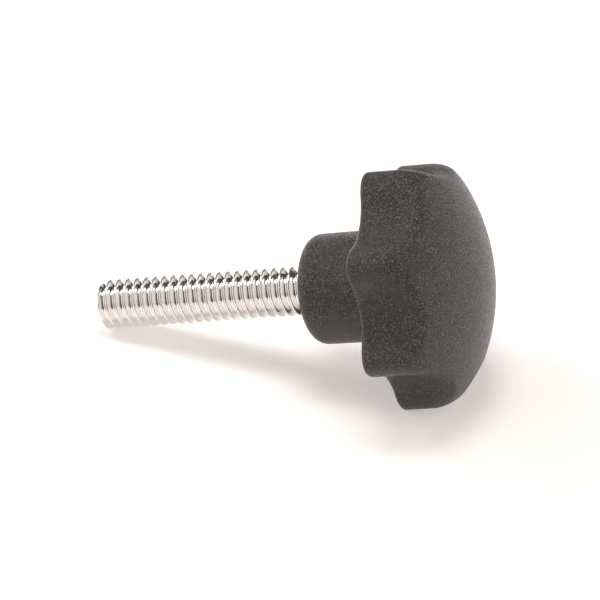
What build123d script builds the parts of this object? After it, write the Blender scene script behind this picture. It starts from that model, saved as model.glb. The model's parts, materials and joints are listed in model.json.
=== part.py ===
from build123d import *
from math import acos, asin, cos, degrees, pi, radians, sin, sqrt, tan
import os

# A star knob: a moulded grip with seven finger flutes, and a threaded stud moulded into it.
# Both pieces are drawn about the Z axis, with the free end of the boss at Z = 0, the stud
# below it and the crown above it. Then the knob is laid down as it comes to rest, on two
# lobes and the tip of the stud. All lengths are in millimetres.

# Stud: a 1/4 inch stud with 20 threads to the inch, drawn at its major diameter where it stands
# free. In a short neck beside the boss and inside the plastic, which fills its thread, it is
# drawn at its pitch diameter
STUD_DIAMETER = 6.35
STUD_BURIED_DIAMETER = 5.52
STUD_LENGTH = 29.6
STUD_NECK_LENGTH = 0.3
TIP_CHAMFER = 0.9

# Anchor: the hexagonal collar on the hidden end of the stud, which keeps it from turning
ANCHOR_FLATS = 9.5
ANCHOR_THICKNESS = 4.0
ANCHOR_SINK = 1.0

# Boss: the round neck between the stud and the head
BOSS_DIAMETER = 14.1
BOSS_HEIGHT = 10.3
BOSS_DRAFT_ANGLE = 0.5
BOSS_EDGE_RADIUS = 1.7
BOSS_ROOT_RADIUS = 0.6

# Countersink round the stud in the end of the boss: how far it stands clear of the thread, so
# that the end of the boss bears flat on the part that the knob clamps
COUNTERSINK_CLEARANCE = 0.15

# Head
LOBES = 7
HEAD_DIAMETER = 32.2
HEAD_HEIGHT = 12.9
CROWN_RADIUS = 25.0
SHOULDER_RADIUS = 1.8

# Rounded lower edge of the rim: its arc turns through a little less than a right angle, so that
# the underside keeps a faint edge at which the ridge rounding ends
LOWER_EDGE_RADIUS = 2.0
LOWER_EDGE_ANGLE = 70.0

# Flutes: each is the path of a round-cornered cutter that runs parallel to the axis
FLUTE_DEPTH = 3.3
FLUTE_RADIUS = 6.5
FLUTE_LENGTH = 9.9
FLUTE_END_RADIUS = 4.7
RIDGE_RADIUS = 1.9

# The share of a lobe's crest that the rounding of its ridges may take
CREST_SHARE = 0.95

# How far cutting solids reach past the surface that they cut
CLEAR = 1.0

# How a cylinder is placed: centred on the axis and standing on its own origin
STANDING = (Align.CENTER, Align.CENTER, Align.MIN)

# Corrections made to the lean of the resting pose, each much smaller than the last
LEAN_STEPS = 6

head_radius = HEAD_DIAMETER / 2
stud_radius = STUD_DIAMETER / 2
buried_radius = STUD_BURIED_DIAMETER / 2
boss_radius = BOSS_DIAMETER / 2
boss_root = boss_radius + BOSS_HEIGHT * tan(radians(BOSS_DRAFT_ANGLE))
flute_centre = head_radius - FLUTE_DEPTH + FLUTE_RADIUS
crown_top = BOSS_HEIGHT + HEAD_HEIGHT
crown_centre = crown_top - CROWN_RADIUS
crown_rim = crown_centre + sqrt(CROWN_RADIUS**2 - head_radius**2)
anchor_base = BOSS_HEIGHT + ANCHOR_SINK


def ridge_limit():
    """The largest rounding of the ridges at which the crests of the lobes keep their full height."""
    spread = (head_radius**2 + flute_centre**2 - FLUTE_RADIUS**2) / (2 * head_radius * flute_centre)
    crest_half_width = head_radius * sin(pi / LOBES - acos(spread))
    wall = (head_radius**2 + FLUTE_RADIUS**2 - flute_centre**2) / (2 * head_radius * FLUTE_RADIUS)
    return crest_half_width * tan(acos(wall) / 2)


def corner(section, x, y):
    """The corner of a flat section that is nearest to the point (x, y)."""
    return min(section.vertices(), key=lambda vertex: (vertex.X - x) ** 2 + (vertex.Y - y) ** 2)


def turned_blank():
    """The grip before its flutes: a drafted boss, a flat underside, an upright rim and a crown."""
    half_angle = asin(head_radius / CROWN_RADIUS) / 2
    crown_middle = (CROWN_RADIUS * sin(half_angle), crown_centre + CROWN_RADIUS * cos(half_angle))
    turn = radians(LOWER_EDGE_ANGLE)
    lower_top = BOSS_HEIGHT + LOWER_EDGE_RADIUS * sin(turn)
    lower_inner = head_radius - LOWER_EDGE_RADIUS * (1 - cos(turn))
    lower_middle = (head_radius - LOWER_EDGE_RADIUS * (1 - cos(turn / 2)),
                    lower_top - LOWER_EDGE_RADIUS * sin(turn / 2))
    with BuildSketch() as section:
        with BuildLine():
            Polyline((0, 0), (boss_radius, 0), (boss_root, BOSS_HEIGHT), (lower_inner, BOSS_HEIGHT))
            ThreePointArc((lower_inner, BOSS_HEIGHT), lower_middle, (head_radius, lower_top))
            Line((head_radius, lower_top), (head_radius, crown_rim))
            ThreePointArc((head_radius, crown_rim), crown_middle, (0, crown_top))
            Line((0, crown_top), (0, 0))
        make_face()
        fillet(corner(section, boss_radius, 0), BOSS_EDGE_RADIUS)
        fillet(corner(section, boss_root, BOSS_HEIGHT), BOSS_ROOT_RADIUS)
        fillet(corner(section, head_radius, crown_rim), SHOULDER_RADIUS)
    return revolve(Plane.XZ * section.sketch, axis=Axis.Z)


def flute_cutter():
    """The solid that cuts one flute at +X, with a rounded end that runs out on the shoulder."""
    height = FLUTE_LENGTH + CLEAR
    cutter = Pos(flute_centre, 0, BOSS_HEIGHT - CLEAR) * Cylinder(FLUTE_RADIUS, height, align=STANDING)
    end_edge = cutter.edges().filter_by(GeomType.CIRCLE).sort_by(Axis.Z)[-1]
    return cutter.fillet(FLUTE_END_RADIUS, [end_edge])


def ridge_edges(body):
    """The edges where the flutes meet the rim and the crown."""
    ridges = []
    for edge in body.edges():
        points = [edge @ share for share in (0, 0.25, 0.5, 0.75, 1)]
        heights = [point.Z for point in points]
        reach = min(sqrt(point.X**2 + point.Y**2) for point in points)
        above = max(heights) > BOSS_HEIGHT + 0.001
        level = edge.geom_type == GeomType.CIRCLE and max(heights) - min(heights) < 0.001
        if above and not level and reach > boss_root + BOSS_ROOT_RADIUS:
            ridges.append(edge)
    return ridges


def stud():
    """The plain outer form of the stud, with its chamfered tip and its hexagonal anchor."""
    threaded_length = STUD_LENGTH - STUD_NECK_LENGTH
    shank = Pos(0, 0, -STUD_LENGTH) * Cylinder(stud_radius, threaded_length, align=STANDING)
    tip_edge = shank.edges().filter_by(GeomType.CIRCLE).sort_by(Axis.Z)[0]
    shank = shank.chamfer(TIP_CHAMFER, None, [tip_edge])
    buried = Cylinder(buried_radius, STUD_NECK_LENGTH + anchor_base, align=STANDING)
    buried = Pos(0, 0, -STUD_NECK_LENGTH) * buried
    hexagon = RegularPolygon(ANCHOR_FLATS / 2, 6, major_radius=False)
    anchor = extrude(Pos(0, 0, anchor_base) * hexagon, ANCHOR_THICKNESS)
    return shank + buried + anchor


def countersink():
    """The solid that cuts the countersink round the stud, at 45 degrees."""
    mouth_radius = stud_radius + COUNTERSINK_CLEARANCE
    return Cone(mouth_radius, buried_radius, mouth_radius - buried_radius, align=STANDING)


def grip(insert):
    """The moulded grip around the stud."""
    body = turned_blank()
    for flute in range(LOBES):
        body -= Rot(0, 0, flute * 360 / LOBES) * flute_cutter()
    body = body.fillet(min(RIDGE_RADIUS, CREST_SHARE * ridge_limit()), ridge_edges(body))
    return body - countersink() - insert


def lowest(piece, lean):
    """The lowest point of a piece when the axis leans from upright by the angle lean."""
    return (Rot(0, lean, 0) * piece).bounding_box().min.Z


def resting_lean(grip_piece, stud_piece):
    """The lean at which two lobes and the tip of the stud touch the same flat surface."""
    lean = 90
    for _ in range(LEAN_STEPS):
        gap = lowest(grip_piece, lean) - lowest(stud_piece, lean)
        lean += degrees(gap / (STUD_LENGTH + BOSS_HEIGHT))
    return lean


stud_piece = stud()
grip_piece = grip(stud_piece)
lean = resting_lean(grip_piece, stud_piece)
leaning = Rot(0, lean, 0)
extent = (leaning * Compound([grip_piece, stud_piece])).bounding_box()
to_floor = Pos(-extent.center().X, -extent.center().Y, -extent.min.Z)
print("lean", lean, extent.size)

os.makedirs("parts", exist_ok=True)
pieces = {"lobed_grip": grip_piece, "threaded_stud": stud_piece}
for name, piece in pieces.items():
    export_step(to_floor * leaning * piece, "parts/" + name + ".step")
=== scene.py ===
import json
from math import cos, pi, radians, sin

import bmesh
import bpy
import numpy as np
from mathutils import Matrix, Vector


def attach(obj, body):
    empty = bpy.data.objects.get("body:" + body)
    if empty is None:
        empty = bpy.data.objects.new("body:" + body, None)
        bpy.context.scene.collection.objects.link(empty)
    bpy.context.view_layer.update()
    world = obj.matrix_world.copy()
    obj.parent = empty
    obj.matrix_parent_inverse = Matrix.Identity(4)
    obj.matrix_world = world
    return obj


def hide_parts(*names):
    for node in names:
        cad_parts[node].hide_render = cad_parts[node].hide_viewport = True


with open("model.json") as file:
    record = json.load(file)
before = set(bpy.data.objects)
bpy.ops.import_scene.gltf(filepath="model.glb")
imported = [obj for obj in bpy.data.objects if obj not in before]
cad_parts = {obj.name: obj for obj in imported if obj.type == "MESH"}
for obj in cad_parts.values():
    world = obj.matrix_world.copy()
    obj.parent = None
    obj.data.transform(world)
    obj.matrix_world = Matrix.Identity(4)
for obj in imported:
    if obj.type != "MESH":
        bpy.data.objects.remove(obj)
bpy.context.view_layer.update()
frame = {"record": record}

# The dressed knob: grained plastic on the grip, a real thread on the stud, a white table under
# soft light, and a camera at the photograph's angle. Lengths are in metres, and MM turns
# millimetres into them. Only the grip and the collar have their sizes in plain millimetres.
MM = 0.001

# Camera, found by laying the model's outline over the photograph; angles are in degrees
CAMERA_AZIMUTH = 16.0
CAMERA_ELEVATION = 32.4
CAMERA_ROLL = 1.8
CAMERA_DISTANCE = 0.816
CAMERA_LENS_MM = 384
CAMERA_SENSOR_MM = 36
CAMERA_CLIP = (0.05, 20)
AIM = Vector((0.0014, -0.0012, 0.0099))

# Thread of the stud, right-handed, 20 turns to the inch. Its form runs from the middle of a
# crest, at phase 0, to the middle of a groove, at phase 0.5, with the drop below the crest
PITCH = 25.4 / 20 * MM
THREAD_FORM = (
    (0.0, 0.0),
    (0.035, 0.0),
    (0.062, 0.012 * MM),
    (0.085, 0.05 * MM),
    (0.22, 0.347 * MM),
    (0.36, 0.654 * MM),
    (0.40, 0.70 * MM),
    (0.45, 0.72 * MM),
    (0.5, 0.72 * MM),
)
PITCH_PHASES = [phase for phase, _ in THREAD_FORM] + [1 - phase for phase, _ in THREAD_FORM[-2:0:-1]]
TURN_STEPS = 96
THREAD_START = 0.15
TIP_CHAMFER = 0.9 * MM
NECK_LENGTH = 0.3 * MM
BURIED_RADIUS = 2.76 * MM

# Points of the thread whose places along it agree to this many decimals of a millimetre are one
MERGE_DECIMALS = 6

# The replaced stud stays this far inside the solid stud, so that it never grazes the grip
SKIN = 0.01 * MM

# Moulded grip, in millimetres about its own axis, with the free end of the boss at height 0
LOBES = 7
HEAD_RADIUS = 16.08
UNDERSIDE = 10.55
CROWN_TOP = 23.0
CROWN_RADIUS = 26.0
SHOULDER_RADIUS = 1.9
FLUTE_FLOOR_RADIUS = 12.8
FLUTE_RADIUS = 6.7
FLUTE_TOP = 20.7
FLUTE_END_RADIUS = 5.4
RIDGE_RADIUS = 1.9
UNDERSIDE_EDGE_RADIUS = 0.7
BOSS_RADIUS = 7.05
BOSS_ROOT = 7.14
BOSS_EDGE_RADIUS = 1.7
BOSS_ROOT_RADIUS = 0.6

# Fineness of the grip's mesh. The head's rings crowd towards the underside by this power, and
# each point is found by halving the span that holds it
GRIP_COLUMNS = 504
HEAD_RINGS = 100
RING_CROWDING = 1.5
HALVINGS = 40
ARC_STEPS = 8

# Hexagonal collar on the buried end of the stud, in millimetres from the free end of the boss
COLLAR_FLATS = 9.5
COLLAR_BASE = 11.3
COLLAR_TOP = 15.3

# Edges sharper than this, in degrees, are shaded sharp
SHARP_ANGLE = 45

# Nearly all values of a noise lie in this range
NOISE_RANGE = (0.3, 0.7)

# Grip plastic: the tops of its grain are glossier than the ground between them, and their lighter colour
# is a painted glint
GRAIN_SIZE = 0.20 * MM
GRAIN_DEPTH = 0.27 * MM
# Over this range of the grain's noise the colour turns from the plastic's own ground to a painted glint
GRAIN_GLINT_RANGE = (0.50, 0.65)
PLASTIC_GROUND = (0.021, 0.018, 0.016)
PLASTIC_GLINT = (0.165, 0.151, 0.139)
PLASTIC_ROUGHNESS = (0.36, 0.22)

# Stud steel: patches of slightly different tone, and a faint ripple
STEEL_PATCH_SIZE = 0.9 * MM
STEEL_TONES = ((0.80, 0.77, 0.745), (0.90, 0.88, 0.86))
STEEL_ROUGHNESS = (0.10, 0.20)
STEEL_RIPPLE_SIZE = 0.5 * MM
STEEL_RIPPLE_DEPTH = 0.02 * MM
STEEL_RIPPLE_STRENGTH = 0.5

# White table: its light to the camera and to reflections is topped up, so that it is full white
# where no shadow falls
FLOOR_SIZE = 3.0
FLOOR_COLOR = (0.95, 0.90, 0.87)
FLOOR_ROUGHNESS = 0.9
FLOOR_TOP_UP = 0.38
FLOOR_TOP_UP_COLOR = (1, 0.96, 0.94)

# Light tent: warm white walls on the left and the right, with a dark strip overhead between them
TENT_COLOR = (1.0, 0.95, 0.92)
TENT_BRIGHT = 1.05
TENT_DARK = 0.05
TENT_SIDE = Vector((1.0, 0.15, 0.0)).normalized()
WALL_EDGE = (0.36, 0.62)

# Square lamps, each with its direction from the knob, its side and its power in watts
LAMP_DISTANCE = 0.6
LAMPS = {
    "top_lamp": ((-0.1, 0.15, 1.0), 0.25, 1.4),
    "left_lamp": ((-0.75, 0.25, 0.65), 0.15, 0.5),
}


def clear_default_objects():
    for name in ("Cube", "Light", "Camera"):
        item = bpy.data.objects.get(name)
        if item:
            bpy.data.objects.remove(item)


def add_object(name, data):
    item = bpy.data.objects.new(name, data)
    bpy.context.scene.collection.objects.link(item)
    return item


def stud_mount():
    return next(mount for mount in frame["record"]["mounts"] if mount["name"] == "stud")


def knob_axes():
    """Where the knob lies: the middle of the boss's free end, a direction across the knob that
    points down, the level one, and the one along its axis towards the crown."""
    mount = stud_mount()
    outward = -Vector(mount["axis"]).normalized()
    side = Vector((0, 1, 0))
    half = mount["dims"]["length_mm"] * MM / 2
    origin = Vector(mount["pos_m"]) + outward * (half + NECK_LENGTH)
    return origin, (side.cross(outward), side, outward)


def hexagon_reach(turn):
    """Distance in millimetres of the collar's outline from its axis; a corner is at turn 0."""
    return COLLAR_FLATS / 2 / cos((turn % (pi / 3)) - pi / 6)


def thread_drop(phase):
    """Drop of the thread's surface below its crest, at a phase that counts pitches."""
    from_crest = abs((phase + 0.5) % 1 - 0.5)
    for (start, low), (end, high) in zip(THREAD_FORM, THREAD_FORM[1:]):
        if from_crest <= end:
            return low + (high - low) * (from_crest - start) / (end - start)
    return THREAD_FORM[-1][1]


def add_face(shape, *corners):
    """Adds a face, or nothing where its corners fall together."""
    distinct = list(dict.fromkeys(corners))
    if len(distinct) > 2:
        shape.faces.new(distinct)


def join_rings(shape, rings):
    for first, second in zip(rings, rings[1:]):
        for step, corner in enumerate(first):
            following = (step + 1) % len(first)
            add_face(shape, corner, first[following], second[following], second[step])


def finished_piece(name, shape):
    """An object with the shape's mesh, shaded smooth but for its sharp edges."""
    bmesh.ops.recalc_face_normals(shape, faces=shape.faces)
    mesh = bpy.data.meshes.new(name)
    shape.to_mesh(mesh)
    shape.free()
    mesh.shade_smooth()
    mesh.set_sharp_from_angle(angle=radians(SHARP_ANGLE))
    return add_object(name, mesh)


def thread_lines(vertex, major, end):
    """Lines of points that wind once around the stud and climb one pitch, held between its tip
    and its end."""
    turns = range(-1, int(end / PITCH) + 2)
    placed = {}
    lines = []
    for row in (turn + phase - THREAD_START for turn in turns for phase in PITCH_PHASES):
        line = []
        for step in range(TURN_STEPS):
            along = min(max((row + step / TURN_STEPS) * PITCH, 0), end)
            key = (step, round(along / MM, MERGE_DECIMALS))
            if key not in placed:
                radius = major - thread_drop(along / PITCH - step / TURN_STEPS + THREAD_START)
                placed[key] = vertex(along, step, min(radius, major - TIP_CHAMFER + along))
            line.append(placed[key])
        lines.append(line)
    return lines


def join_thread(shape, lines):
    """Faces between neighbouring lines. The last point of a line meets the first point of the
    line that lies one pitch further on."""
    last = len(lines) - 1
    for row in range(last):
        line, following = lines[row], lines[row + 1]
        for step in range(TURN_STEPS - 1):
            add_face(shape, line[step], line[step + 1], following[step + 1], following[step])
        turned = min(row + len(PITCH_PHASES), last)
        turned_next = min(turned + 1, last)
        add_face(shape, line[-1], lines[turned][0], lines[turned_next][0], following[-1])


def buried_rings(vertex, length):
    """Rings of the plain shank and the hexagonal collar, inside the grip."""
    steps = range(TURN_STEPS)
    base = length + COLLAR_BASE * MM
    top = length + COLLAR_TOP * MM - SKIN
    shank = BURIED_RADIUS - SKIN
    rings = [[vertex(along, step, shank) for step in steps] for along in (length - SKIN, base)]
    reaches = [hexagon_reach(2 * pi * step / TURN_STEPS) * MM - SKIN for step in steps]
    return rings + [[vertex(along, step, reaches[step]) for step in steps] for along in (base, top)]


def stud_piece():
    """The threaded stud with its flat tip, and the shank and collar that are buried in the grip."""
    origin, (down, side, outward) = knob_axes()
    sizes = stud_mount()["dims"]
    length = TIP_CHAMFER + sizes["length_mm"] * MM + NECK_LENGTH
    tip = origin - outward * length
    shape = bmesh.new()

    def vertex(along, step, radius):
        turn = 2 * pi * step / TURN_STEPS
        return shape.verts.new(tip + outward * along + (down * cos(turn) + side * sin(turn)) * radius)

    lines = thread_lines(vertex, sizes["r_mm"] * MM - SKIN, length - SKIN)
    join_thread(shape, lines)
    rings = [lines[-1]] + buried_rings(vertex, length)
    join_rings(shape, rings)
    shape.faces.new(lines[0][::-1])
    shape.faces.new(rings[-1])
    return finished_piece("stud_with_thread", shape)


def rounded_meet(first, second, radius):
    """Distance to the overlap of two solids, each given by its distance, with a rounded edge."""
    beyond = np.hypot(np.maximum(first + radius, 0), np.maximum(second + radius, 0))
    return np.minimum(np.maximum(first, second), -radius) + beyond


def head_distance(reach, turn, height):
    """Distance of points from the surface of the head, less than zero inside it."""
    from_flute = (turn + pi / LOBES) % (2 * pi / LOBES) - pi / LOBES
    flute_centre = FLUTE_FLOOR_RADIUS + FLUTE_RADIUS
    across = np.hypot(reach * np.cos(from_flute) - flute_centre, reach * np.sin(from_flute))
    flute = rounded_meet(across - FLUTE_RADIUS, height - FLUTE_TOP, FLUTE_END_RADIUS)
    crown = np.hypot(reach, height - CROWN_TOP + CROWN_RADIUS) - CROWN_RADIUS
    blank = rounded_meet(reach - HEAD_RADIUS, crown, SHOULDER_RADIUS)
    fluted = rounded_meet(blank, -flute, RIDGE_RADIUS)
    return rounded_meet(fluted, UNDERSIDE - height, UNDERSIDE_EDGE_RADIUS)


def head_rings(turns):
    """Rings of the head from beside the top of the crown down to the underside, each as its
    points' distances from the axis and heights. The last ring falls together on the axis."""
    share = np.linspace(0, 1, HEAD_RINGS + 1)[1:]
    slopes = (1 - share) ** RING_CROWDING * pi / 2
    rings = []
    for slope in slopes:
        inner = np.zeros_like(turns)
        outer = np.full_like(turns, HEAD_RADIUS + CROWN_TOP)
        for _ in range(HALVINGS):
            middle = (inner + outer) / 2
            inside = head_distance(middle * cos(slope), turns, UNDERSIDE + middle * sin(slope)) < 0
            inner = np.where(inside, middle, inner)
            outer = np.where(inside, outer, middle)
        rings.append((inner * cos(slope), UNDERSIDE + inner * sin(slope)))
    return rings


def boss_rings(turns):
    """Rings from the root of the boss to its end, then up the hole that holds the stud."""
    arc = [step / ARC_STEPS * pi / 2 for step in range(ARC_STEPS + 1)]
    profile = []
    for angle in arc:
        reach = BOSS_ROOT + BOSS_ROOT_RADIUS * (1 - sin(angle))
        profile.append((reach, UNDERSIDE - BOSS_ROOT_RADIUS * (1 - cos(angle))))
    for angle in arc:
        reach = BOSS_RADIUS - BOSS_EDGE_RADIUS * (1 - cos(angle))
        profile.append((reach, BOSS_EDGE_RADIUS * (1 - sin(angle))))
    profile += [(BURIED_RADIUS / MM, 0), (BURIED_RADIUS / MM, COLLAR_BASE)]
    rings = [(np.full_like(turns, reach), np.full_like(turns, height)) for reach, height in profile]
    hexagon = np.array([hexagon_reach(turn) for turn in turns])
    return rings + [(hexagon, np.full_like(turns, height)) for height in (COLLAR_BASE, COLLAR_TOP)]


def grip_piece():
    """The moulded grip: rings of points about its axis, closed at the crown and at the bottom of
    the hole for the stud."""
    origin, (down, side, outward) = knob_axes()
    turns = np.arange(GRIP_COLUMNS) * 2 * pi / GRIP_COLUMNS
    shape = bmesh.new()

    def vertex(reach, turn, height):
        across = (down * cos(turn) + side * sin(turn)) * reach
        return shape.verts.new(origin + (across + outward * height) * MM)

    grid = []
    for reaches, heights in head_rings(turns) + boss_rings(turns):
        grid.append([vertex(*point) for point in zip(reaches, turns, heights)])
    crown = [vertex(0, 0, CROWN_TOP)] * GRIP_COLUMNS
    hole_end = [vertex(0, 0, COLLAR_TOP)] * GRIP_COLUMNS
    join_rings(shape, [crown] + grid + [hole_end])
    return finished_piece("fluted_grip", shape)


def mix_colors(nodes, links, factor, first, second):
    mix = nodes.new("ShaderNodeMix")
    mix.data_type = "RGBA"
    mix.inputs["A"].default_value = (*first, 1)
    mix.inputs["B"].default_value = (*second, 1)
    links.new(factor, mix.inputs["Factor"])
    return mix.outputs["Result"]


def map_range(nodes, links, value, source, target):
    node = nodes.new("ShaderNodeMapRange")
    node.inputs["From Min"].default_value, node.inputs["From Max"].default_value = source
    node.inputs["To Min"].default_value, node.inputs["To Max"].default_value = target
    links.new(value, node.inputs["Value"])
    return node.outputs["Result"]


def noise(nodes, links, size):
    """Noise fixed to the object, with features of about the given size."""
    place = nodes.new("ShaderNodeTexCoord")
    node = nodes.new("ShaderNodeTexNoise")
    node.inputs["Scale"].default_value = 1 / size
    links.new(place.outputs["Object"], node.inputs["Vector"])
    return node.outputs["Fac"]


def math_node(nodes, links, operation, *values):
    """Result of an operation on values, each a number or another node's output."""
    node = nodes.new("ShaderNodeMath")
    node.operation = operation
    for value, socket in zip(values, node.inputs):
        if isinstance(value, float):
            socket.default_value = value
        else:
            links.new(value, socket)
    return node.outputs[0]


def add_bump(nodes, links, shader, height, depth, strength=1.0):
    bump = nodes.new("ShaderNodeBump")
    bump.inputs["Strength"].default_value = strength
    bump.inputs["Distance"].default_value = depth
    links.new(height, bump.inputs["Height"])
    links.new(bump.outputs["Normal"], shader.inputs["Normal"])


def new_material(name):
    material = bpy.data.materials.new(name)
    material.use_nodes = True
    tree = material.node_tree
    return material, tree.nodes, tree.links, tree.nodes["Principled BSDF"]


def grip_plastic():
    """Black moulded plastic with a fine grain, whose tops are painted lighter as painted glints."""
    material, nodes, links, shader = new_material("grip_plastic")
    grain = noise(nodes, links, GRAIN_SIZE)
    # Painted glints: the tops of the grain are painted lighter than the plastic's own dark ground
    painted_glints = map_range(nodes, links, grain, GRAIN_GLINT_RANGE, (0, 1))
    links.new(mix_colors(nodes, links, painted_glints, PLASTIC_GROUND, PLASTIC_GLINT), shader.inputs["Base Color"])
    roughness = map_range(nodes, links, grain, NOISE_RANGE, PLASTIC_ROUGHNESS)
    links.new(roughness, shader.inputs["Roughness"])
    add_bump(nodes, links, shader, grain, GRAIN_DEPTH)
    return material


def stud_steel():
    """Bright plated steel, a little uneven along the rolled thread."""
    material, nodes, links, shader = new_material("stud_steel")
    shader.inputs["Metallic"].default_value = 1.0
    patches = noise(nodes, links, STEEL_PATCH_SIZE)
    links.new(mix_colors(nodes, links, patches, *STEEL_TONES), shader.inputs["Base Color"])
    roughness = map_range(nodes, links, patches, NOISE_RANGE, STEEL_ROUGHNESS)
    links.new(roughness, shader.inputs["Roughness"])
    ripple = noise(nodes, links, STEEL_RIPPLE_SIZE)
    add_bump(nodes, links, shader, ripple, STEEL_RIPPLE_DEPTH, STEEL_RIPPLE_STRENGTH)
    return material


def white_table():
    """Matt white that sends some light of its own to the camera and to reflections."""
    material, nodes, links, shader = new_material("white_table")
    shader.inputs["Base Color"].default_value = (*FLOOR_COLOR, 1)
    shader.inputs["Roughness"].default_value = FLOOR_ROUGHNESS
    shader.inputs["Specular IOR Level"].default_value = 0.0
    rays = nodes.new("ShaderNodeLightPath").outputs
    seen = math_node(nodes, links, "MAXIMUM", rays["Is Camera Ray"], rays["Is Glossy Ray"])
    shader.inputs["Emission Color"].default_value = (*FLOOR_TOP_UP_COLOR, 1)
    links.new(math_node(nodes, links, "MULTIPLY", seen, FLOOR_TOP_UP), shader.inputs["Emission Strength"])
    return material


def dress(item, material):
    item.data.materials.clear()
    item.data.materials.append(material)


def lay_floor():
    half = FLOOR_SIZE / 2
    corners = [(-half, -half, 0), (half, -half, 0), (half, half, 0), (-half, half, 0)]
    mesh = bpy.data.meshes.new("table")
    mesh.from_pydata(corners, [], [range(len(corners))])
    table = add_object("table", mesh)
    dress(table, white_table())


def view_directions():
    """Directions to the right, up and back towards the camera."""
    azimuth, elevation, roll = (radians(a) for a in (CAMERA_AZIMUTH, CAMERA_ELEVATION, CAMERA_ROLL))
    back = Vector((sin(azimuth) * cos(elevation), -cos(azimuth) * cos(elevation), sin(elevation)))
    level = Vector((cos(azimuth), sin(azimuth), 0))
    right = level * cos(roll) + back.cross(level) * sin(roll)
    return right, back.cross(right), back


def place_looking(item, place, right, up, back):
    item.matrix_world = Matrix.Translation(place) @ Matrix((right, up, back)).transposed().to_4x4()


def lay_camera():
    data = bpy.data.cameras.new("view_camera")
    data.lens = CAMERA_LENS_MM
    data.sensor_width = CAMERA_SENSOR_MM
    data.clip_start, data.clip_end = CAMERA_CLIP
    item = add_object("view_camera", data)
    right, up, back = view_directions()
    place_looking(item, AIM + back * CAMERA_DISTANCE, right, up, back)
    bpy.context.scene.camera = item


def area_lamp(name, direction, size, power):
    """A square lamp that shines on the knob from the given direction."""
    data = bpy.data.lights.new(name, "AREA")
    data.shape = "SQUARE"
    data.size = size
    data.energy = power
    item = add_object(name, data)
    back = Vector(direction).normalized()
    right = Vector((0, 0, 1)).cross(back).normalized()
    place_looking(item, back * LAMP_DISTANCE, right, back.cross(right), back)


def lay_tent():
    world = bpy.data.worlds.new("tent")
    bpy.context.scene.world = world
    world.use_nodes = True
    nodes, links = world.node_tree.nodes, world.node_tree.links
    direction = nodes.new("ShaderNodeTexCoord")
    sideways = nodes.new("ShaderNodeVectorMath")
    sideways.operation = "DOT_PRODUCT"
    sideways.inputs[1].default_value = TENT_SIDE
    links.new(direction.outputs["Generated"], sideways.inputs[0])
    either_side = math_node(nodes, links, "ABSOLUTE", sideways.outputs["Value"])
    level = map_range(nodes, links, either_side, WALL_EDGE, (TENT_DARK, TENT_BRIGHT))
    links.new(level, nodes["Background"].inputs["Strength"])
    nodes["Background"].inputs["Color"].default_value = (*TENT_COLOR, 1)


clear_default_objects()
bpy.context.scene.view_settings.view_transform = "Standard"
lay_camera()
lay_tent()
lay_floor()
for name, settings in LAMPS.items():
    area_lamp(name, *settings)

pieces = (
    (grip_piece(), grip_plastic(), "lobed_grip", "grip_plastic"),
    (stud_piece(), stud_steel(), "threaded_stud", "stud_steel"),
)
for piece, material, node, slot in pieces:
    dress(piece, material)
    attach(piece, "root")
    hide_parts(node)
